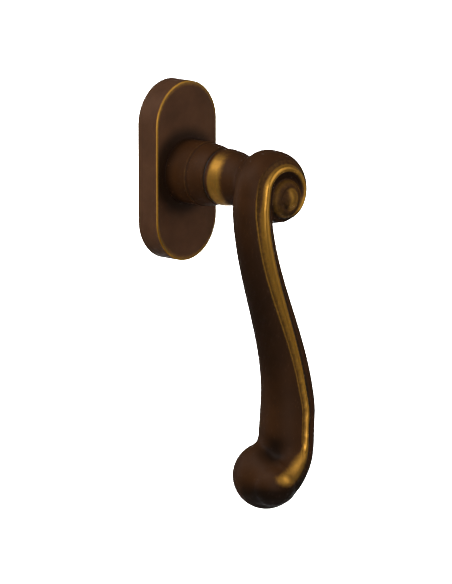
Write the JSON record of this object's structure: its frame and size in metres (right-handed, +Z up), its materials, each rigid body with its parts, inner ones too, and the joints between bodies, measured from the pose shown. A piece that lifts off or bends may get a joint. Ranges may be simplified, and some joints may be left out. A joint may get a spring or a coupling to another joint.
{
  "type": "window handle",
  "caption": "Scroll lever window handle on an obround rose, with a square spindle, a detent and screws behind.",
  "frame": {"origin": "on the spindle's axis, at the back of the base plate, which lies on the window's sash", "axes": "-Y points out of the window's sash, along the spindle to the front of the handle; +Z is up, with the lever hanging down; +X is to the right seen from the front"},
  "size_m": [0.0388, 0.0795, 0.162],
  "materials": {
    "antique_brass": "dark patina with worn bright edges, satin lacquer",
    "antique_rose": "dark patina, satin lacquer",
    "zinc_casting": "bare die-cast zinc",
    "zinc_plated_steel": "bright zinc plate",
    "spring_steel": "oiled spring steel",
    "acetal": "moulded, matt"
  },
  "bodies": {
    "rose": {"rosette_cover": "antique_rose", "collar": "antique_rose", "glide_washer": "acetal", "base_plate": "zinc_casting", "journal_bush": "acetal", "thrust_washer": "zinc_plated_steel", "detent_springs": "spring_steel", "mechanism_plate": "zinc_plated_steel", "plate_rivets": "zinc_plated_steel", "fixing_screws": "zinc_plated_steel"},
    "handle": {"lever": "antique_brass", "spindle": "zinc_plated_steel", "spindle_pin": "spring_steel", "detent_cam": "zinc_casting", "retaining_ring": "spring_steel"}
  },
  "joints": [
    {"name": "handle_turn", "type": "hinge", "parent": "rose", "child": "handle", "pos_m": [0, 0, 0], "axis": [0, -1, 0], "range_deg": [0, 180], "deforming": ["detent_springs"]}
  ]
}
